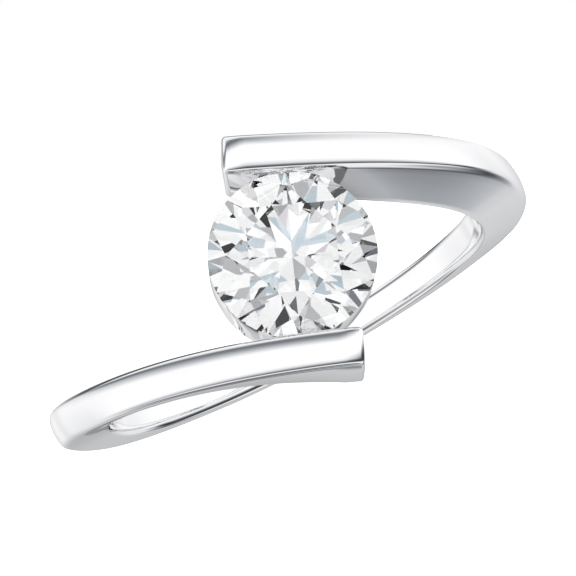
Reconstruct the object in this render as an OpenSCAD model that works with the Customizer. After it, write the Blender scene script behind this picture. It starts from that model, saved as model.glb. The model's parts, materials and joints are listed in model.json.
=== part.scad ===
// Bypass ring: a plain polished band whose two arms sweep past each other on either side of one round
// brilliant stone, with a round collet under the stone that joins the arms. Millimetres.
// The ring is drawn upright, with the finger hole along Y and the stone on top in +Z, and is then
// laid on its side, as it rests on a table, with the stone facing -Y.

/* [Finger hole] */
// Inside diameter, US size 6
inside_d = 16.5; // [15:0.1:20]
// Bevel of the band's inner edges
inner_edge = 0.12; // [0.06:0.02:0.2]

/* [Band] */
// Width at the palm side
shank_w = 1.36; // [1:0.02:1.4]
// Width across the arms
arm_w = 1.48; // [1.3:0.02:1.6]
// Thickness at the palm side
shank_h = 1.13; // [0.9:0.01:1.4]
// Thickness beside the finger
side_h = 2.03; // [1.6:0.01:2.3]
// Height of the arms over the finger hole, beside the stone
arm_h = 3.62; // [3.4:0.02:3.9]
// Distance of an arm's middle from the stone's axis, along the finger
arm_offset = 3.9; // [3.8:0.02:3.94]
// How far round an arm reaches, counted from the palm side
arm_reach = 183; // [181:0.5:188]
// Rounding of the arms' outer edges, measured across the arm
outer_edge_r = 0.15; // [0.1:0.05:0.3]
// Softer rounding of the outer edges at the palm side and beside the finger
soft_edge_r = 0.3; // [0.15:0.05:0.4]
// How far the outer edges' rounding runs down the sides
edge_depth = 0.35; // [0.15:0.05:0.4]
// Rise of the band's soft dome over its outer edges
dome_h = 0.06; // [0.02:0.02:0.12]

/* [Stone] */
// Diameter of the round brilliant
stone_d = 6; // [5.6:0.05:6.1]
// Height of the girdle's middle over the finger hole's axis
girdle_z = 10.98; // [10.94:0.02:11.2]
// Thickness of the girdle
girdle_h = 0.1; // [0.06:0.02:0.16]
// Table as a share of the stone's diameter
table_share = 0.56; // [0.53:0.01:0.62]
// Slope of the crown's kite facets
crown_angle = 34.5; // [32:0.5:36]
// Slope of the pavilion's main facets
pavilion_angle = 40.6; // [40:0.1:41.4]

/* [Setting] */
// Outer radius of the collet's rim
rim_r = 3; // [2.95:0.01:3.05]
// Outer radius of the collet's collar, under the rim
collar_r = 2.88; // [2.7:0.02:2.9]
// Distance of the rim's lower edge from the finger hole's axis
rim_low = 9.5; // [9.1:0.1:9.9]
// Drop of the rim's top under the girdle
rim_drop = 0.15; // [0.1:0.05:0.3]
// Radius of the open hole under the stone
light_hole_r = 2.2; // [1.8:0.1:2.4]
// Gap between the stone and its seat
seat_gap = 0.03; // [0.02:0.01:0.05]

/* [Hidden] */

metal_colour = [0.86, 0.87, 0.89];
stone_colour = [0.93, 0.96, 1.0, 0.7];

bore_r = inside_d / 2;
stone_r = stone_d / 2;
// How deep the swept band dips into the finger hole before the hole is cut
overshoot = 0.3;
// Turn between two sections of the band
section_step = 3;
// Sides of the small round walls, and of the finger hole
FINE = 96;
BORE_SIDES = 180;
// Steps in the rounding of the arms' ends
end_steps = [0, 30, 60, 90];

// One half of the band, a row for each 30 degrees from the palm side. The other half turns half way
// round the stone's axis. The last row lies past the arm's end and only steers the curve.
// Columns: offset along the finger as a share of arm_offset, width, thickness, outer edges' rounding
ROW_STEP = 30;
OFFSET = 0;
WIDTH = 1;
THICK = 2;
EDGE = 3;
widening = (arm_w - shank_w) / 3;
growth = (arm_h - side_h) / 3;
softening = (soft_edge_r - outer_edge_r) / 3;
SECTIONS = [
    [0, shank_w, shank_h, soft_edge_r],
    [0, shank_w, shank_h, soft_edge_r],
    [0, shank_w + widening, side_h - growth, soft_edge_r],
    [0, shank_w + 2 * widening, side_h, soft_edge_r],
    [0.146, arm_w, side_h + growth, outer_edge_r + softening],
    [0.46, arm_w, side_h + 2 * growth, outer_edge_r],
    [1, arm_w, arm_h, outer_edge_r],
    [1.73, arm_w, arm_h + 1.5 * growth, outer_edge_r]
];

function row(i) = SECTIONS[min(abs(i), len(SECTIONS) - 1)];
function smooth(a, b, c, d, u) =
    b + u / 2 * (c - a + u * (2 * a - 5 * b + 4 * c - d + u * (3 * b - a - 3 * c + d)));
function along(angle, column) =
    let (i = floor(abs(angle) / ROW_STEP), u = abs(angle) / ROW_STEP - i)
    smooth(row(i - 1)[column], row(i)[column], row(i + 1)[column], row(i + 2)[column], u);

// The band's middle line, its slope across the arm, and the radius of its outer face
function offset_at(angle) = -sign(angle) * arm_offset * along(angle, OFFSET);
function outer_r(angle) = bore_r + along(angle, THICK);
function slope_at(angle) =
    atan((offset_at(angle + 0.5) - offset_at(angle - 0.5)) * 180 / PI / outer_r(180));
function on_ring(angle, y, r) = [-r * sin(angle), y, -r * cos(angle)];

// A point of the section at an angle, given by its place across the band and its radius. Sections stand
// square to the arm, so they turn with its slope. Past the stone's axis they stand upright instead of
// towards the ring's middle, so that the arms' ends are cut straight down.
function band_point(angle, across, r) =
    let (slope = slope_at(angle), past = sign(angle) * max(abs(angle) - 180, 0),
         upright = angle + past * (outer_r(180) / r - 1),
         turned = upright - across * sin(slope) / outer_r(180) * 180 / PI)
    on_ring(turned, offset_at(angle) + across * cos(slope), r);

// Right half of a section's outline, from inside the finger hole to the middle of the outer face. The outer
// edge is rounded by part of an ellipse, edge wide and edge_depth deep.
function half_outline(half, top, edge) =
    let (flat = half - edge, turn = atan(2 * dome_h / flat * edge / edge_depth),
         low = top - dome_h - edge_depth * cos(turn))
    concat(
        [[half - inner_edge - overshoot, bore_r - overshoot], [half, bore_r + inner_edge]],
        [for (k = [2:-1:0]) let (a = turn + (90 - turn) * k / 2)
            [flat + edge * sin(a), low + edge_depth * cos(a)]],
        [[flat / 2, top - dome_h / 4]]
    );
function half_outline_at(station) =
    let (angle = station[0], inset = station[1])
    half_outline(along(angle, WIDTH) / 2 - inset, outer_r(angle) - inset, along(angle, EDGE));
function outline_at(station) =
    let (right = half_outline_at(station), n = len(right))
    concat(right, [[0, outer_r(station[0]) - station[1]]],
           [for (k = [n - 1:-1:0]) [-right[k][0], right[k][1]]]);

// Sections along the band, each an angle and how far it is drawn in, so that the arms' ends are round
end_turn = outer_edge_r / outer_r(180) * 180 / PI;
ROUND_END = [for (a = end_steps) [arm_reach - end_turn * (1 - sin(a)), outer_edge_r * (1 - cos(a))]];
body_reach = arm_reach - end_turn;
body_steps = ceil(body_reach / section_step);
STATIONS = concat(
    [for (k = [len(ROUND_END) - 1:-1:1]) [-ROUND_END[k][0], ROUND_END[k][1]]],
    [for (k = [-body_steps:body_steps]) [body_reach * k / body_steps, 0]],
    [for (k = [1:len(ROUND_END) - 1]) ROUND_END[k]]
);
function ring_of(station) = [for (p = outline_at(station)) band_point(station[0], p[0], p[1])];
BAND_POINTS = [for (s = STATIONS) each ring_of(s)];

// Corner i of a station's half outline, on the band's -Y side. Corner 1 ends the inner bevel and corner 2
// starts the outer rounding.
function side_corner(station, i) =
    let (p = half_outline_at(station)[i])
    band_point(station[0], -p[0], p[1]);

// The table meets two neighbouring stations at the palm side and the corner of one arm's end
palm_rest = side_corner([3 * body_reach / body_steps, 0], 2);
next_rest = side_corner([4 * body_reach / body_steps, 0], 2);
arm_rest = side_corner(ROUND_END[1], 1);
function unit(v) = v / norm(v);
POSE_UP = unit(cross(next_rest - palm_rest, arm_rest - palm_rest));
POSE_BACK = unit(POSE_UP * POSE_UP[2] - [0, 0, 1]);
POSE_RIGHT = cross(POSE_BACK, POSE_UP);
function middle(axis) = let (reach = [for (p = BAND_POINTS) p * axis]) (min(reach) + max(reach)) / 2;
POSE = [
    [each POSE_RIGHT, -middle(POSE_RIGHT)],
    [each POSE_BACK, -middle(POSE_BACK)],
    [each POSE_UP, -palm_rest * POSE_UP]
];

// A round brilliant's levels: the crown from the table to the girdle, the pavilion from there to the culet
FOLD = 8;
crown_z = girdle_z + girdle_h / 2;
pavilion_z = girdle_z - girdle_h / 2;
table_r = stone_r * table_share;
table_z = crown_z + (stone_r - table_r) * tan(crown_angle);
culet_z = pavilion_z - stone_r * tan(pavilion_angle);
// Corners where the star facets end, half way to the girdle, on the kites' planes
star_r = (table_r + stone_r) / 2;
star_z = table_z - (star_r * cos(180 / FOLD) - table_r) * tan(crown_angle);
// Corners where the lower halves end, near the culet, on the main facets' planes
halves_share = 0.24;
halves_r = stone_r * halves_share;
halves_z = culet_z + halves_r * cos(180 / FOLD) * tan(pavilion_angle);
// The facets run on to this radius, past the girdle that trims them round
trim_r = stone_r * 1.1;

function spoke(turn, r, z) = [r * cos(turn * 180 / FOLD), r * sin(turn * 180 / FOLD), z];
function height_on(a, b, c, x, y) =
    let (n = cross(b - a, c - a)) a[2] - (n[0] * (x - a[0]) + n[1] * (y - a[1])) / n[2];
// Where a half facet, from its inner corner to the girdle, reaches trim_r
function trimmed(turn, inner_r, inner_z, edge_z) =
    let (k = 2 * floor(turn / 2), p = spoke(turn, trim_r, 0))
    [p[0], p[1], height_on(spoke(k + 1, inner_r, inner_z), spoke(k, stone_r, edge_z),
                           spoke(k + 1, stone_r, edge_z), p[0], p[1])];

module swept_band() {
    n = len(ring_of(STATIONS[0]));
    last = len(STATIONS) - 1;
    sides = [for (i = [0:last - 1], k = [0:n - 1])
        let (a = i * n + k, b = i * n + (k + 1) % n) each [[a, b + n, b], [a, a + n, b + n]]];
    caps = [[for (k = [0:n - 1]) k], [for (k = [n - 1:-1:0]) last * n + k]];
    polyhedron(BAND_POINTS, concat(sides, caps));
}

module finger_hole(r) {
    rotate([90, 0, 0])
        cylinder(r = r, h = 4 * arm_offset, center = true, $fn = BORE_SIDES);
}

// A collar that starts inside the finger hole, and a wider rim whose lower edge curves with the hole
module collet() {
    foot = bore_r - collar_r / 3;
    translate([0, 0, foot])
        cylinder(r = collar_r, h = rim_low - foot, $fn = FINE);
    difference() {
        translate([0, 0, bore_r])
            cylinder(r = rim_r, h = pavilion_z - rim_drop - bore_r, $fn = FINE);
        finger_hole(rim_low);
    }
}

// The stone's outer form with a gap all round, cut from the arms and the collet
module seat() {
    r = stone_r + seat_gap;
    lift = 2 * seat_gap;
    rotate_extrude($fn = FINE)
        polygon([
            [0, culet_z - lift],
            [r, pavilion_z - seat_gap],
            [r, crown_z + seat_gap],
            [table_r, table_z + lift],
            [0, table_z + lift]
        ]);
}

module band() {
    color(metal_colour)
        difference() {
            union() {
                swept_band();
                collet();
            }
            finger_hole(bore_r);
            seat();
            cylinder(r = light_hole_r, h = girdle_z, $fn = FINE);
        }
}

// Crown: an eight-sided table, 8 star facets, 8 kites and 16 upper halves, on a plain block
module crown_block() {
    points = concat(
        [for (k = [0:FOLD - 1]) spoke(2 * k, table_r, table_z)],
        [for (k = [0:FOLD - 1]) spoke(2 * k + 1, star_r, star_z)],
        [for (k = [0:FOLD - 1]) spoke(2 * k, stone_r, crown_z)],
        [for (j = [0:2 * FOLD - 1]) trimmed(j, star_r, star_z, crown_z)],
        [for (j = [0:2 * FOLD - 1]) spoke(j, trim_r, culet_z)]
    );
    table = [[for (k = [FOLD - 1:-1:0]) k]];
    stars = [for (k = [0:FOLD - 1]) [k, (k + 1) % FOLD, FOLD + k]];
    kites = [for (k = [0:FOLD - 1]) [k, FOLD + k, 2 * FOLD + k, FOLD + (k + FOLD - 1) % FOLD]];
    polyhedron(points, concat(table, stars, kites, half_facets(), walls()));
}

// Pavilion: 8 main facets that meet in the culet and 16 lower halves, under a plain block
module pavilion_block() {
    points = concat(
        [for (k = [0:FOLD - 1]) [0, 0, culet_z]],
        [for (k = [0:FOLD - 1]) spoke(2 * k + 1, halves_r, halves_z)],
        [for (k = [0:FOLD - 1]) spoke(2 * k, stone_r, pavilion_z)],
        [for (j = [0:2 * FOLD - 1]) trimmed(j, halves_r, halves_z, pavilion_z)],
        [for (j = [0:2 * FOLD - 1]) spoke(j, trim_r, table_z)]
    );
    mains = [for (k = [0:FOLD - 1]) [0, FOLD + (k + FOLD - 1) % FOLD, 2 * FOLD + k, FOLD + k]];
    rest = [for (f = concat(half_facets(), walls())) [for (i = [len(f) - 1:-1:0]) f[i]]];
    polyhedron(points, concat(mains, rest));
}

// Faces shared by both blocks, as indices into their points: the inner corners start at FOLD, the kites'
// tips at 2 * FOLD, the points past the girdle at 3 * FOLD and the block's far ends at 5 * FOLD
function half_facets() = [for (k = [0:FOLD - 1], side = [0, 1])
    let (inner = FOLD + k, between = 3 * FOLD + 2 * k + 1)
    side == 0 ? [inner, between, between - 1, 2 * FOLD + k]
              : [inner, 2 * FOLD + (k + 1) % FOLD, 3 * FOLD + (2 * k + 2) % (2 * FOLD), between]];
function walls() = concat(
    [for (j = [0:2 * FOLD - 1]) let (next = (j + 1) % (2 * FOLD))
        [3 * FOLD + j, 3 * FOLD + next, 5 * FOLD + next, 5 * FOLD + j]],
    [[for (j = [0:2 * FOLD - 1]) 5 * FOLD + j]]
);

module stone() {
    color(stone_colour)
        intersection() {
            crown_block();
            pavilion_block();
            cylinder(r = stone_r, h = 2 * table_z, $fn = FINE);
        }
}

module at_rest() {
    multmatrix(POSE)
        children();
}

at_rest() band();
at_rest() stone();
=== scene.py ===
"""Bypass ring: a polished white gold band whose arms pass either side of a round brilliant.

The band and the stone are made again here as fine meshes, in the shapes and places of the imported
solids: the band with its true roundings and its soldered collet, the stone with flat facets and a
round girdle. Sizes are in millimetres in the ring's own axes, where the finger hole runs along Y and
the stone stands on top in +Z, and to_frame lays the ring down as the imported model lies.
"""

import json
from math import atan2, ceil, copysign, cos, degrees, floor, pi, radians, sin, sqrt, tan

import bmesh
import bpy
from mathutils import Matrix, Vector


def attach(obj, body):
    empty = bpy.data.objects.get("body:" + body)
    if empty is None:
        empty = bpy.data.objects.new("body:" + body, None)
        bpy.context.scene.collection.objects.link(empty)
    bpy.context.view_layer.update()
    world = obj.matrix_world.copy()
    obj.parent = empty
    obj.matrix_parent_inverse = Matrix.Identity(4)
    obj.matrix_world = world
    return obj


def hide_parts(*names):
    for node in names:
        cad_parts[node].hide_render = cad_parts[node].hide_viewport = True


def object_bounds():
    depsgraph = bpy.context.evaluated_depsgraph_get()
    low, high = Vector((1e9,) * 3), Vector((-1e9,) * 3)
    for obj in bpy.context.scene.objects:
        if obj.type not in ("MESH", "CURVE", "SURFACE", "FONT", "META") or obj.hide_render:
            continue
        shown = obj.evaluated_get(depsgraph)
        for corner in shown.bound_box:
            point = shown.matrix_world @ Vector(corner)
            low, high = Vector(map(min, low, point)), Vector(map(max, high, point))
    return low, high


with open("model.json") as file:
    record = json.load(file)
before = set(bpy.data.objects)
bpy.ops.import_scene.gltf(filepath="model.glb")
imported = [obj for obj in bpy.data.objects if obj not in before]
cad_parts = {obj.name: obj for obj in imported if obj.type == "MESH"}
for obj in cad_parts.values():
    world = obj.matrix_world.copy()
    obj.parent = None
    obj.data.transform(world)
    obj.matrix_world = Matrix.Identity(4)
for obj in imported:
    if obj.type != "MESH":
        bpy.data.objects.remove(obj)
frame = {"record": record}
cad_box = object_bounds()

# Sizes, as in the part
BORE_R = 8.25
INNER_EDGE = 0.12
SHANK_W = 1.36
ARM_W = 1.48
SHANK_H = 1.13
SIDE_H = 2.03
ARM_H = 3.62
ARM_OFFSET = 3.9
ARM_REACH = 183
STONE_AT = 180
OUTER_EDGE_R = 0.15
SOFT_EDGE_R = 0.3
EDGE_DEPTH = 0.35
DOME_H = 0.06
STONE_R = 3.0
GIRDLE_Z = 10.98
GIRDLE_H = 0.1
TABLE_SHARE = 0.56
HALVES_SHARE = 0.24
CROWN_ANGLE = 34.5
PAVILION_ANGLE = 40.6
FOLD = 8
RIM_R = 3.0
RIM_LOW = 9.5
COLLAR_R = 2.88
RIM_DROP = 0.15
LIGHT_HOLE_R = 2.2
SEAT_GAP = 0.03
# A millimetre in the frame's metres
MILLIMETRE = 0.001

# The stone's levels
CROWN_Z = GIRDLE_Z + GIRDLE_H / 2
PAVILION_Z = GIRDLE_Z - GIRDLE_H / 2
TABLE_R = STONE_R * TABLE_SHARE
TABLE_Z = CROWN_Z + (STONE_R - TABLE_R) * tan(radians(CROWN_ANGLE))
CULET_Z = PAVILION_Z - STONE_R * tan(radians(PAVILION_ANGLE))

# One half of the band, a row for each 30 degrees from the palm side, as in the part: the share of the arms'
# offset, the width along the finger hole, the thickness and the outer edges' rounding across. Width,
# thickness and rounding change by thirds.
ROW_STEP = 30
WIDENING = (ARM_W - SHANK_W) / 3
GROWTH = (ARM_H - SIDE_H) / 3
SOFTENING = (SOFT_EDGE_R - OUTER_EDGE_R) / 3
OFFSET, WIDTH, THICK, EDGE = range(4)
SECTIONS = [
    (0, SHANK_W, SHANK_H, SOFT_EDGE_R),
    (0, SHANK_W, SHANK_H, SOFT_EDGE_R),
    (0, SHANK_W + WIDENING, SIDE_H - GROWTH, SOFT_EDGE_R),
    (0, SHANK_W + 2 * WIDENING, SIDE_H, SOFT_EDGE_R),
    (0.146, ARM_W, SIDE_H + GROWTH, OUTER_EDGE_R + SOFTENING),
    (0.46, ARM_W, SIDE_H + 2 * GROWTH, OUTER_EDGE_R),
    (1, ARM_W, ARM_H, OUTER_EDGE_R),
    (1.73, ARM_W, ARM_H + 1.5 * GROWTH, OUTER_EDGE_R),
]

# The hand polish: the radius of the side walls' slight barrel form, how far the finger hole's wall falls
# back at its edges, how far those edges' rounding runs across, how far the outer face rolls off over the
# last degrees of each arm, the bevel of the collet's edges, and the width and height of its rim's shoulder
WALL_CURVE_R = 29
INSIDE_ROUND = 0.03
INNER_REACH = 0.34
END_DROP = 0.1
END_RUN = 3.4
COLLET_BEVEL = 0.04
SHOULDER = (0.1, 1.0)

# Fineness of the meshes: degrees between the band's sections, steps over each rounded edge, over half the
# dome, over a side wall and over half the finger hole's wall, and steps round the collet and the girdle
STATION_STEP = 0.75
EDGE_STEPS = 9
DOME_STEPS = 6
WALL_STEPS = 8
INSIDE_STEPS = 4
TURN_STEPS = 192
# Degrees from which an edge of the band shows sharp, the most that a face of the girdle leans, how near a
# point is to a facet's plane to lie in it, and how near two points are to be one
SHARP_ANGLE = 32
GIRDLE_LEAN = 0.01
PLANE_SLACK = 1e-6
WELD = 0.0001


def row(index):
    """A row of the table, which goes on in mirror image past the palm side and stays at its last row."""
    return SECTIONS[min(abs(index), len(SECTIONS) - 1)]


def smooth(a, b, c, d, u):
    """The value at a share u of the way from b to c, on a smooth curve through all four."""
    return b + u / 2 * (c - a + u * (2 * a - 5 * b + 4 * c - d + u * (3 * b - a - 3 * c + d)))


def along(angle, column):
    """A column of the table at any angle."""
    place = abs(angle) / ROW_STEP
    i = floor(place)
    return smooth(*(row(k)[column] for k in range(i - 1, i + 3)), place - i)


def offset_at(angle):
    """How far the band's middle line lies along the finger hole, one way on each side of the ring."""
    side = (angle > 0) - (angle < 0)
    return -side * ARM_OFFSET * along(angle, OFFSET)


def outer_r(angle):
    return BORE_R + along(angle, THICK)


def face_r(angle):
    """The outer face's radius, rolled off towards the arms' ends."""
    share = max(abs(angle) - (ARM_REACH - END_RUN), 0) / END_RUN
    return outer_r(angle) - END_DROP * share ** 2


def slope_at(angle):
    """How far the band leans from the ring's middle plane, from its change of offset over one degree."""
    return atan2(degrees(offset_at(angle + 0.5) - offset_at(angle - 0.5)), outer_r(STONE_AT))


def on_ring(angle, y, r):
    """A point by its angle from the palm side, its place along the finger hole and its radius."""
    return Vector((-r * sin(radians(angle)), y, -r * cos(radians(angle))))


def band_point(angle, across, r):
    """A point of the section at an angle, by its place across the band and its radius.

    Past the stone's axis the sections stand upright, so that the arms' ends are cut straight down.
    """
    slope = slope_at(angle)
    past = copysign(max(abs(angle) - STONE_AT, 0), angle)
    upright = angle + past * (outer_r(STONE_AT) / r - 1)
    turned = upright - degrees(across * sin(slope) / outer_r(STONE_AT))
    return on_ring(turned, offset_at(angle) + across * cos(slope), r)


def arc(middle, radii, start, end, outward):
    """Points of an edge's ellipse, by turns from straight up, or from straight down with outward -1."""
    turns = [start + (end - start) * k / EDGE_STEPS for k in range(EDGE_STEPS + 1)]
    return [(middle[0] + radii[0] * sin(a), middle[1] + outward * radii[1] * cos(a)) for a in turns]


def half_outline(half, top, edge):
    """Right half of a section: the finger hole's wall, its edge, the side wall, its edge and the dome."""
    inner = atan2(2 * INSIDE_ROUND / half * INNER_REACH, INNER_EDGE)
    corner = half - INNER_REACH + INNER_REACH * sin(inner)
    low = BORE_R + INSIDE_ROUND * (corner / half) ** 2 + INNER_EDGE * cos(inner)
    outer = atan2(2 * DOME_H / (half - edge) * edge, EDGE_DEPTH)
    high = top - DOME_H - EDGE_DEPTH * cos(outer)
    wall_slope = (high - low) / 2 / WALL_CURVE_R

    def wall_x(r):
        return half - (r - (low + high) / 2) ** 2 / (2 * WALL_CURVE_R)

    def edge_arc(radii, middle_r, face_turn, outward):
        wall_turn = atan2(radii[0], radii[1] * wall_slope)
        middle = (wall_x(middle_r) - radii[0] * sin(wall_turn), middle_r)
        return arc(middle, radii, face_turn, wall_turn, outward)

    points = []
    for k in range(1, INSIDE_STEPS):
        x = corner * k / INSIDE_STEPS
        points.append((x, BORE_R + INSIDE_ROUND * (x / half) ** 2))
    points += edge_arc((INNER_REACH, INNER_EDGE), low, inner, -1)
    for k in range(1, WALL_STEPS):
        r = low + (high - low) * k / WALL_STEPS
        points.append((wall_x(r), r))
    points += reversed(edge_arc((edge, EDGE_DEPTH), high, outer, 1))
    rim = points[-1][0]
    for k in range(DOME_STEPS - 1, 0, -1):
        share = k / DOME_STEPS
        points.append((rim * share, top - DOME_H * share * share))
    return points


def outline(half, top, edge):
    right = half_outline(half, top, edge)
    left = [(-x, r) for x, r in reversed(right)]
    return [(0, BORE_R)] + right + [(0, top)] + left


def stations():
    """Angles along the band, each with how far its section is drawn in for the arms' rounded ends."""
    end_turn = degrees(OUTER_EDGE_R / outer_r(STONE_AT))
    body_reach = ARM_REACH - end_turn
    steps = ceil(body_reach / STATION_STEP)
    body = [(body_reach * k / steps, 0) for k in range(-steps, steps + 1)]
    ends = []
    for k in range(1, EDGE_STEPS + 1):
        a = pi / 2 * k / EDGE_STEPS
        ends.append((ARM_REACH - end_turn * (1 - sin(a)), OUTER_EDGE_R * (1 - cos(a))))
    return [(-angle, inset) for angle, inset in reversed(ends)] + body + ends


def closed_mesh(name, rings, loop):
    """A mesh through rings of points. A loop closes on itself, and an open sweep gets two end caps."""
    n = len(rings[0])
    mesh = bmesh.new()
    rows = [[mesh.verts.new(p) for p in ring] for ring in rings]
    for i in range(len(rows) if loop else len(rows) - 1):
        a, b = rows[i], rows[(i + 1) % len(rows)]
        for k in range(n):
            mesh.faces.new((a[k], a[(k + 1) % n], b[(k + 1) % n], b[k]))
    if not loop:
        mesh.faces.new(reversed(rows[0]))
        mesh.faces.new(rows[-1])
    bmesh.ops.recalc_face_normals(mesh, faces=mesh.faces)
    return as_object(name, mesh)


def as_object(name, mesh):
    data = bpy.data.meshes.new(name)
    mesh.to_mesh(data)
    mesh.free()
    thing = bpy.data.objects.new(name, data)
    bpy.context.scene.collection.objects.link(thing)
    return thing


def sweep():
    """The plain band from one arm's end round to the other's."""
    rings = []
    for angle, inset in stations():
        section = outline(along(angle, WIDTH) / 2 - inset, face_r(angle) - inset, along(angle, EDGE))
        rings.append([band_point(angle, x, r) for x, r in section])
    return closed_mesh("band_sweep", rings, loop=False)


def collet():
    """The collar and rim as one turned ring whose foot and rim edge curve with the finger hole."""
    soft = COLLET_BEVEL
    shoulder_x, shoulder_z = SHOULDER

    def height(around, r, turn):
        return sqrt(around ** 2 - (r * cos(turn)) ** 2)

    seat_slope = (PAVILION_Z - SEAT_GAP - CULET_Z + 2 * SEAT_GAP) / (STONE_R + SEAT_GAP)
    top = PAVILION_Z - RIM_DROP
    lip_r = (top - CULET_Z + 2 * SEAT_GAP) / seat_slope
    step_z = CULET_Z - 2 * SEAT_GAP + LIGHT_HOLE_R * seat_slope
    rings = []
    for k in range(TURN_STEPS):
        turn = 2 * pi * k / TURN_STEPS
        profile = [
            (LIGHT_HOLE_R, step_z - soft),
            (LIGHT_HOLE_R, height(BORE_R, LIGHT_HOLE_R, turn) + soft),
            (LIGHT_HOLE_R + soft, height(BORE_R, LIGHT_HOLE_R + soft, turn)),
            (COLLAR_R - soft, height(BORE_R, COLLAR_R - soft, turn)),
            (COLLAR_R, height(BORE_R, COLLAR_R, turn) + soft),
            (COLLAR_R, height(RIM_LOW, COLLAR_R, turn)),
            (RIM_R - soft, height(RIM_LOW, RIM_R - soft, turn)),
            (RIM_R, height(RIM_LOW, RIM_R, turn) + soft),
            *arc((RIM_R - shoulder_x, top - shoulder_z), SHOULDER, pi / 2, 0, 1),
            (lip_r, top),
            (LIGHT_HOLE_R + soft, step_z + soft * seat_slope),
        ]
        rings.append([Vector((r * cos(turn), r * sin(turn), z)) for r, z in profile])
    return closed_mesh("collet", rings, loop=True)


def seat():
    """The stone's outer form with a gap all round, which is cut from the metal."""
    r = STONE_R + SEAT_GAP
    lift = 2 * SEAT_GAP
    profile = [
        (r, PAVILION_Z - SEAT_GAP),
        (r, CROWN_Z + SEAT_GAP),
        (TABLE_R, TABLE_Z + lift),
    ]
    mesh = bmesh.new()
    foot = mesh.verts.new((0, 0, CULET_Z - lift))
    head = mesh.verts.new((0, 0, TABLE_Z + lift))
    columns = []
    for k in range(TURN_STEPS):
        turn = 2 * pi * k / TURN_STEPS
        columns.append([mesh.verts.new((x * cos(turn), x * sin(turn), z)) for x, z in profile])
    for a, b in zip(columns, columns[1:] + columns[:1]):
        mesh.faces.new((foot, b[0], a[0]))
        for k in range(len(profile) - 1):
            mesh.faces.new((a[k], b[k], b[k + 1], a[k + 1]))
        mesh.faces.new((a[-1], b[-1], head))
    bmesh.ops.recalc_face_normals(mesh, faces=mesh.faces)
    return as_object("seat", mesh)


def combine(base, tool, operation):
    cut = base.modifiers.new(operation, "BOOLEAN")
    cut.object = tool
    cut.operation = operation
    cut.solver = "MANIFOLD"
    bake_modifiers(base)
    bpy.data.objects.remove(tool)


def bake_modifiers(thing):
    evaluated = thing.evaluated_get(bpy.context.evaluated_depsgraph_get())
    baked = bpy.data.meshes.new_from_object(evaluated)
    thing.modifiers.clear()
    thing.data = baked


def weld(thing):
    """Joins the points that the cuts leave all but in one place, as faces between them have no area."""
    mesh = bmesh.new()
    mesh.from_mesh(thing.data)
    bmesh.ops.remove_doubles(mesh, verts=mesh.verts[:], dist=WELD)
    bmesh.ops.dissolve_degenerate(mesh, edges=mesh.edges[:], dist=WELD)
    mesh.to_mesh(thing.data)
    mesh.free()


def make_band():
    band = sweep()
    combine(band, collet(), "UNION")
    combine(band, seat(), "DIFFERENCE")
    weld(band)
    band.data.polygons.foreach_set("use_smooth", [True] * len(band.data.polygons))
    band.data.set_sharp_from_angle(angle=radians(SHARP_ANGLE))
    return band


def spoke(turn, r, z):
    """A point by its turn, counted in sixteenths of a full turn, its radius and its level."""
    a = turn * pi / FOLD
    return Vector((r * cos(a), r * sin(a), z))


def facet_planes():
    """Three points on each facet: the table, then round the stone star, kite, main and halves."""
    drop = tan(radians(CROWN_ANGLE))
    star_r = (TABLE_R + STONE_R) / 2
    star_z = TABLE_Z - (star_r * cos(pi / FOLD) - TABLE_R) * drop
    halves_r = STONE_R * HALVES_SHARE
    halves_z = CULET_Z + halves_r * cos(pi / FOLD) * tan(radians(PAVILION_ANGLE))
    culet = Vector((0, 0, CULET_Z))
    planes = [[spoke(k, TABLE_R, TABLE_Z) for k in (0, 2, 4)]]
    for k in range(0, 2 * FOLD, 2):
        kite_tip = spoke(k, STONE_R, CROWN_Z)
        main_tip = spoke(k, STONE_R, PAVILION_Z)
        star_tip = spoke(k + 1, star_r, star_z)
        planes.append([spoke(k, TABLE_R, TABLE_Z), spoke(k + 2, TABLE_R, TABLE_Z), star_tip])
        planes.append([kite_tip, spoke(k - 1, star_r, star_z), star_tip])
        planes.append([main_tip, culet, spoke(k + 1, halves_r, halves_z)])
        for side in (-1, 1):
            edge = spoke(k + side, STONE_R, CROWN_Z)
            under = spoke(k + side, STONE_R, PAVILION_Z)
            planes.append([kite_tip, spoke(k + side, star_r, star_z), edge])
            planes.append([main_tip, spoke(k + side, halves_r, halves_z), under])
    return planes


def make_stone():
    """A cylinder of the girdle's size, cut flat at every facet."""
    mesh = bmesh.new()
    inside = Vector((0, 0, GIRDLE_Z))
    bmesh.ops.create_cone(
        mesh,
        cap_ends=True,
        segments=TURN_STEPS,
        radius1=STONE_R,
        radius2=STONE_R,
        depth=2 * STONE_R,
        matrix=Matrix.Translation(inside),
    )
    for a, b, c in facet_planes():
        outward = (b - a).cross(c - a).normalized()
        if outward.dot(inside - a) > 0:
            outward = -outward
        everything = mesh.verts[:] + mesh.edges[:] + mesh.faces[:]
        cut = bmesh.ops.bisect_plane(
            mesh, geom=everything, plane_co=a, plane_no=outward, clear_outer=True, dist=PLANE_SLACK
        )
        rim = [e for e in cut["geom_cut"] if isinstance(e, bmesh.types.BMEdge)]
        bmesh.ops.edgenet_fill(mesh, edges=rim)
    bmesh.ops.recalc_face_normals(mesh, faces=mesh.faces)
    for face in mesh.faces:
        face.smooth = abs(face.normal.z) < GIRDLE_LEAN
    return as_object("stone_cut", mesh)


def to_frame():
    """The ring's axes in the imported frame, from the record's finger hole."""
    hole = frame["record"]["mounts"][0]
    across = Vector(hole["axis"]).normalized()
    top = Vector((0, -across.z, across.y)).normalized()
    side = across.cross(top)
    turned = Matrix((side, across, top)).transposed().to_4x4()
    return Matrix.Translation(hole["pos_m"]) @ turned


RING = to_frame()


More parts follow.
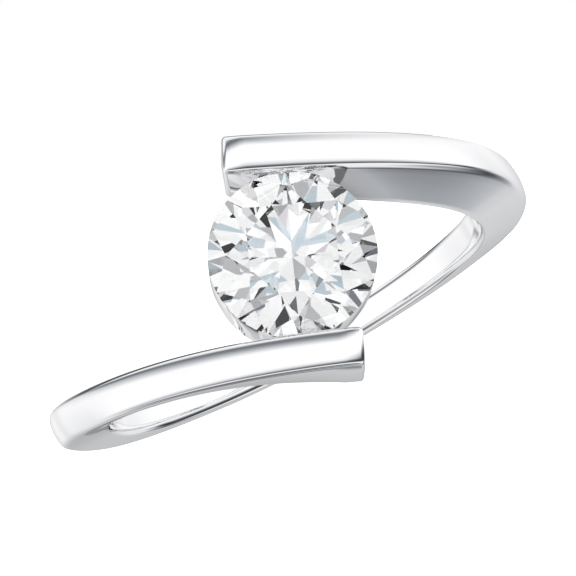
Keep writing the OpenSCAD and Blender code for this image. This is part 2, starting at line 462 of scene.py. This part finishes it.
def place(piece, node, slot):
    """Lays a piece down in the frame's metres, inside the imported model's box, to stand for a node."""
    piece.data.transform(RING @ Matrix.Scale(MILLIMETRE, 4))
    for vertex in piece.data.vertices:
        vertex.co = [min(max(value, low), high) for value, low, high in zip(vertex.co, *cad_box)]
    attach(piece, "root")
    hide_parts(node)


# The materials' patterns: how many waves to the metre, how many finer layers, and a share of that number
# for each axis, where a small one draws the pattern out
CLOUDS = (300, 3)
HAIRLINES = (9000, 2, (0.08, 1, 1))
RIPPLE = (220, 1)
DRIFT = (500, 2)
GRAIN = (1200, 4)
# Between which levels of a pattern its colours change
PATTERN_SPREAD = (0.3, 0.7)
# The strength and the height in metres of what a pattern raises
RIPPLE_RELIEF = (0.1, 0.00002)
GRAIN_RELIEF = (0.1, 0.0001)
# Colours and roughness at a pattern's low and high levels
GOLD_COLOURS = ((0.885, 0.885, 0.9), (0.92, 0.92, 0.925))
GOLD_ROUGHNESS = (0.02, 0.08)
DIAMOND_COLOURS = ((0.98, 0.99, 1.0), (1.0, 1.0, 1.0))
DIAMOND_IOR = 2.417
WHITE = (1, 1, 1, 1)
# The floor: half its side in metres, and its look. Its own glow keeps it as pale as the room.
FLOOR_REACH = 3
FLOOR_COLOURS = ((0.88, 0.88, 0.88), (0.92, 0.92, 0.92))
FLOOR_ROUGHNESS = 0.9
FLOOR_GLOW = 0.75


def new_material(name):
    material = bpy.data.materials.new(name)
    material.use_nodes = True
    tree = material.node_tree
    return material, tree, tree.nodes["Principled BSDF"]


def noise(tree, scale, detail, stretch=(1, 1, 1)):
    """Noise in the object's own metres."""
    own = tree.nodes.new("ShaderNodeTexCoord")
    drawn = tree.nodes.new("ShaderNodeMapping")
    drawn.inputs["Scale"].default_value = stretch
    texture = tree.nodes.new("ShaderNodeTexNoise")
    texture.inputs["Scale"].default_value = scale
    texture.inputs["Detail"].default_value = detail
    tree.links.new(own.outputs["Object"], drawn.inputs["Vector"])
    tree.links.new(drawn.outputs["Vector"], texture.inputs["Vector"])
    return texture.outputs["Fac"]


def between(tree, share, low, high, target):
    """Spreads a pattern over two numbers or two colours, into a shader's socket."""
    if isinstance(low, tuple):
        spread = tree.nodes.new("ShaderNodeValToRGB")
        for element, place_at, colour in zip(spread.color_ramp.elements, PATTERN_SPREAD, (low, high)):
            element.position = place_at
            element.color = (*colour, 1)
        tree.links.new(share, spread.inputs["Fac"])
        tree.links.new(spread.outputs["Color"], target)
    else:
        spread = tree.nodes.new("ShaderNodeMapRange")
        spread.inputs["To Min"].default_value = low
        spread.inputs["To Max"].default_value = high
        tree.links.new(share, spread.inputs["Value"])
        tree.links.new(spread.outputs["Result"], target)


def relief(tree, shader, height, strength, distance):
    bump = tree.nodes.new("ShaderNodeBump")
    bump.inputs["Strength"].default_value = strength
    bump.inputs["Distance"].default_value = distance
    tree.links.new(height, bump.inputs["Height"])
    tree.links.new(bump.outputs["Normal"], shader.inputs["Normal"])


def white_gold():
    """Mirror polish with faint clouds, a slow ripple and the fine hairlines that a wheel leaves."""
    material, tree, shader = new_material("white_gold")
    shader.inputs["Metallic"].default_value = 1
    between(tree, noise(tree, *CLOUDS), *GOLD_COLOURS, shader.inputs["Base Color"])
    between(tree, noise(tree, *HAIRLINES), *GOLD_ROUGHNESS, shader.inputs["Roughness"])
    relief(tree, shader, noise(tree, *RIPPLE), *RIPPLE_RELIEF)
    return material


def diamond():
    """Clear and colourless, with the faintest drift of tint that a real crystal has."""
    material, tree, shader = new_material("diamond")
    shader.inputs["Roughness"].default_value = 0
    shader.inputs["IOR"].default_value = DIAMOND_IOR
    shader.inputs["Transmission Weight"].default_value = 1
    between(tree, noise(tree, *DRIFT), *DIAMOND_COLOURS, shader.inputs["Base Color"])
    return material


def pale_floor():
    """A matt white sheet with a faint grain."""
    mesh = bmesh.new()
    bmesh.ops.create_grid(mesh, x_segments=1, y_segments=1, size=FLOOR_REACH)
    floor_plane = as_object("floor", mesh)
    material, tree, shader = new_material("pale_floor")
    shader.inputs["Roughness"].default_value = FLOOR_ROUGHNESS
    shader.inputs["Emission Color"].default_value = WHITE
    shader.inputs["Emission Strength"].default_value = FLOOR_GLOW
    grain = noise(tree, *GRAIN)
    between(tree, grain, *FLOOR_COLOURS, shader.inputs["Base Color"])
    relief(tree, shader, grain, *GRAIN_RELIEF)
    floor_plane.data.materials.append(material)
    floor_plane.visible_glossy = False
    floor_plane.visible_transmission = False


# The light that the metal mirrors, by how far a direction leans along the finger hole, from -1 at one
# end to 1 at the other: lean and brightness, over the ring and under it
LIGHT_OVER = [
    (-1.0, 0.95),
    (-0.75, 0.95),
    (-0.68, 0.6),
    (-0.6, 0.08),
    (-0.35, 0.06),
    (-0.26, 0.2),
    (-0.18, 0.65),
    (-0.05, 1.15),
    (0.34, 1.1),
    (0.4, 0.75),
    (0.46, 0.4),
    (0.5, 0.22),
    (0.56, 0.2),
    (0.6, 0.5),
    (0.66, 1.0),
    (1.0, 1.0),
]
LIGHT_UNDER = [
    (-1.0, 0.95),
    (-0.8, 0.85),
    (-0.72, 0.3),
    (-0.66, 0.1),
    (-0.63, 0.12),
    (-0.6, 0.19),
    (-0.57, 0.28),
    (-0.54, 0.38),
    (-0.51, 0.52),
    (-0.47, 0.74),
    (-0.42, 0.84),
    (-0.3, 0.86),
    (0.0, 0.92),
    (0.3, 1.05),
    (0.42, 0.85),
    (0.54, 0.4),
    (0.64, 0.1),
    (1.0, 0.1),
]
# Where under passes into over, by how far a direction leans towards the ring's top, where the stone is
OVER_FADE = (-0.5, -0.2)
# The dark bands over the ring end towards two opposite corners of the room: where they fade, by the
# product of a direction's parts across the ring and along the finger hole
CORNER_FADE = (0.2, 0.45)
# Shadows are a little bluer than white: how much of each colour a full shadow loses or gains
SHADOW_TINT = (-0.1, -0.03, 0.06)
# Parts of the room that are dimmer or brighter: a direction in the ring's axes, the degrees from there over
# which the part fades, and its light against the rest in its middle. The first is wide, behind the ring,
# the next six are in the room's near corners, and the last two are what the collet mirrors from below.
ROOM_PARTS = [
    ((0.05, 0.1, -0.99), (4, 42), 0.5),
    ((-0.42, -0.85, -0.25), (10, 22), 0.2),
    ((-0.2, -0.42, -0.885), (3, 9.5), 0.22),
    ((-0.06, -0.3, -0.95), (1.5, 4.5), 0.35),
    ((-0.17, -0.58, -0.797), (2.5, 7), 2.6),
    ((0.38, -0.82, -0.43), (8, 20), 0.4),
    ((0.93, -0.27, -0.15), (3, 9), 0.35),
    ((-0.27, 0.1, -0.957), (7, 15), 1.3),
    ((0.22, -0.04, -0.975), (1.5, 4.5), 0.6),
]
# What the metal mirrors of itself is darker low in the ring: where it fades, by how far a direction leans
# towards the top, the share of light left, and a part that stays as light, in the table's terms
INNER_FADE = (-0.8, -0.45)
INNER_SHARE = 0.25
INNER_LIGHTER = ((-0.24, 0.24, -0.94), (16, 28), 0)

# What the stone shows through its facets, a patchwork of the room: from which share of the patches a colour
# runs, and the colour
PATCHES = [
    (0.0, (0.01, 0.01, 0.012)),
    (0.03, (0.07, 0.075, 0.08)),
    (0.06, (0.25, 0.27, 0.3)),
    (0.11, (0.68, 0.79, 0.86)),
    (0.15, (0.88, 0.85, 0.88)),
    (0.19, (0.64, 0.65, 0.67)),
    (0.39, (1.3, 1.3, 1.3)),
]
PATCH_SCALE = 5
PATCH_SEED = 1.7
# Streaks within the patches: their fineness and finer layers, and the least and most light that they leave
STREAK_SCALE = 22
STREAK_LAYERS = 3
STREAK_LIGHT = (0.84, 1.12)
# How much of the room shows on the stone's own surface
SURFACE_SHARE = 0.3
# A colour mix's sockets: its share, its two colours and its result
MIX_SHARE, MIX_FIRST, MIX_SECOND, MIX_RESULT = 0, 6, 7, 2


def studio():
    """Soft light all round: white where the camera looks, and in bands for what the metal mirrors."""
    world = bpy.data.worlds.new("studio")
    world.use_nodes = True
    bpy.context.scene.world = world
    tree = world.node_tree
    nodes, links = tree.nodes, tree.links
    nodes.clear()
    direction = nodes.new("ShaderNodeTexCoord").outputs["Generated"]

    def towards(axis):
        """How far a direction leans towards an axis, from -1 to 1."""
        dot = nodes.new("ShaderNodeVectorMath")
        dot.operation = "DOT_PRODUCT"
        dot.inputs[1].default_value = axis
        links.new(direction, dot.inputs[0])
        return dot.outputs["Value"]

    def ranged(value, *limits):
        """A value's range from and to, spread over another."""
        share = nodes.new("ShaderNodeMapRange")
        for name, limit in zip(("From Min", "From Max", "To Min", "To Max"), limits):
            share.inputs[name].default_value = limit
        links.new(value, share.inputs["Value"])
        return share.outputs["Result"]

    def math(operation, *values):
        node = nodes.new("ShaderNodeMath")
        node.operation = operation
        for socket, value in zip(node.inputs, values):
            links.new(value, socket)
        return node.outputs["Value"]

    def ramp(place_at, stops, stepped=False):
        node = nodes.new("ShaderNodeValToRGB")
        node.color_ramp.interpolation = "CONSTANT" if stepped else "LINEAR"
        elements = node.color_ramp.elements
        while len(elements) < len(stops):
            elements.new(0.5)
        for element, (position, colour) in zip(elements, stops):
            element.position = position
            element.color = (*colour, 1)
        links.new(place_at, node.inputs["Fac"])
        return node.outputs["Color"]

    def bands(lean, table):
        """A table's brightness by the lean, with its shadows tinted."""
        def tinted(bright):
            return [bright * (1 + change * (1 - min(bright, 1))) for change in SHADOW_TINT]

        return ramp(lean, [((place_at + 1) / 2, tinted(bright)) for place_at, bright in table])

    def mixed(kind, share, a, b):
        mix = nodes.new("ShaderNodeMix")
        mix.data_type = "RGBA"
        mix.blend_type = kind
        for socket, value in ((MIX_SHARE, share), (MIX_FIRST, a), (MIX_SECOND, b)):
            if hasattr(value, "links"):
                links.new(value, mix.inputs[socket])
            else:
                mix.inputs[socket].default_value = value
        return mix.outputs[MIX_RESULT]

    def part_light(part_at, fade, share):
        """The light left by a row of the room's parts."""
        middle = sum((axis * part for axis, part in zip(axes, part_at)), Vector()).normalized()
        away = math("ARCCOSINE", towards(middle))
        return ranged(away, *(radians(angle) for angle in fade), share, 1)

    axes = [RING.col[column].xyz for column in range(3)]
    lean = ranged(towards(axes[1]), -1, 1)
    corner = ranged(math("MULTIPLY", towards(axes[0]), towards(axes[1])), *CORNER_FADE, 0, 1)
    overhead = mixed("MIX", corner, bands(lean, LIGHT_OVER), WHITE)
    over = ranged(towards(axes[2]), *OVER_FADE)
    metal = mixed("MIX", over, bands(lean, LIGHT_UNDER), overhead)

    # What the metal mirrors of itself: low directions are darker the second time, and all are white the third
    seen = nodes.new("ShaderNodeLightPath")
    times = seen.outputs["Glossy Depth"]
    low = ranged(towards(axes[2]), *INNER_FADE, INNER_SHARE, 1)
    twice = math("MULTIPLY", ranged(times, 1, 2, 0, 1), part_light(*INNER_LIGHTER))
    metal = mixed("MULTIPLY", twice, metal, low)
    metal = mixed("MIX", ranged(times, 2, 3, 0, 1), metal, WHITE)
    for room_part in ROOM_PARTS:
        metal = mixed("MULTIPLY", 1.0, metal, part_light(*room_part))

    patches = nodes.new("ShaderNodeTexVoronoi")
    patches.voronoi_dimensions = "4D"
    patches.inputs["W"].default_value = PATCH_SEED
    patches.inputs["Scale"].default_value = PATCH_SCALE
    links.new(direction, patches.inputs["Vector"])
    parts = nodes.new("ShaderNodeSeparateColor")
    links.new(patches.outputs["Color"], parts.inputs["Color"])
    jewel = ramp(parts.outputs["Red"], PATCHES, stepped=True)
    streaks = nodes.new("ShaderNodeTexNoise")
    streaks.inputs["Scale"].default_value = STREAK_SCALE
    streaks.inputs["Detail"].default_value = STREAK_LAYERS
    links.new(direction, streaks.inputs["Vector"])
    streak_light = ranged(streaks.outputs["Fac"], *PATTERN_SPREAD, *STREAK_LIGHT)
    jewel = mixed("MULTIPLY", 1.0, jewel, streak_light)

    # The stone's surface is the only one smooth enough for singular rays
    surface = mixed("MULTIPLY", 1.0, metal, (SURFACE_SHARE, SURFACE_SHARE, SURFACE_SHARE, 1))
    mirrored = mixed("MIX", seen.outputs["Is Singular Ray"], metal, surface)
    light = mixed("MIX", seen.outputs["Is Glossy Ray"], WHITE, mirrored)
    light = mixed("MIX", seen.outputs["Is Transmission Ray"], light, jewel)
    back = nodes.new("ShaderNodeBackground")
    links.new(light, back.inputs["Color"])
    out = nodes.new("ShaderNodeOutputWorld")
    links.new(back.outputs["Background"], out.inputs["Surface"])


# The photograph's view: degrees that the camera stands round from straight in front of the stone, degrees
# that it looks down, its roll, its distance from the ring's middle in metres, the photograph's side and
# focal length in pixels, how far beside and over the ring's middle it aims, the sensor's width in
# millimetres, and how near the camera sees in metres
CAMERA_TURN = 5.6023
CAMERA_RISE = 2.00777
CAMERA_ROLL = -24.1576
CAMERA_DISTANCE = 0.09706
PHOTO_SIDE = 576
FOCAL_PIXELS = 2458.7
AIM_RIGHT = -0.00007645
AIM_UP = 0.00117
SENSOR_WIDTH = 36
NEAREST_SEEN = 0.001


def camera():
    """The camera, at the photograph's angle to the ring and above the floor."""
    data = bpy.data.cameras.new("camera")
    eye = bpy.data.objects.new("camera", data)
    bpy.context.scene.collection.objects.link(eye)
    bpy.context.scene.camera = eye
    data.sensor_width = SENSOR_WIDTH
    data.lens = SENSOR_WIDTH * FOCAL_PIXELS / PHOTO_SIDE
    data.clip_start = NEAREST_SEEN
    turned = (
        Matrix.Rotation(radians(-CAMERA_TURN), 4, "Z")
        @ Matrix.Rotation(radians(90 - CAMERA_RISE), 4, "X")
        @ Matrix.Rotation(radians(CAMERA_ROLL), 4, "Z")
    )
    right, up, back = (turned.col[k].xyz for k in range(3))
    aim = RING.translation + right * AIM_RIGHT + up * AIM_UP
    eye.matrix_world = Matrix.Translation(aim + back * CAMERA_DISTANCE) @ turned


camera()
band = make_band()
band.data.materials.clear()
band.data.materials.append(white_gold())
place(band, "band", "white_gold")
stone = make_stone()
stone.data.materials.clear()
stone.data.materials.append(diamond())
place(stone, "stone", "diamond")
pale_floor()
studio()
bpy.context.scene.view_settings.view_transform = "Standard"
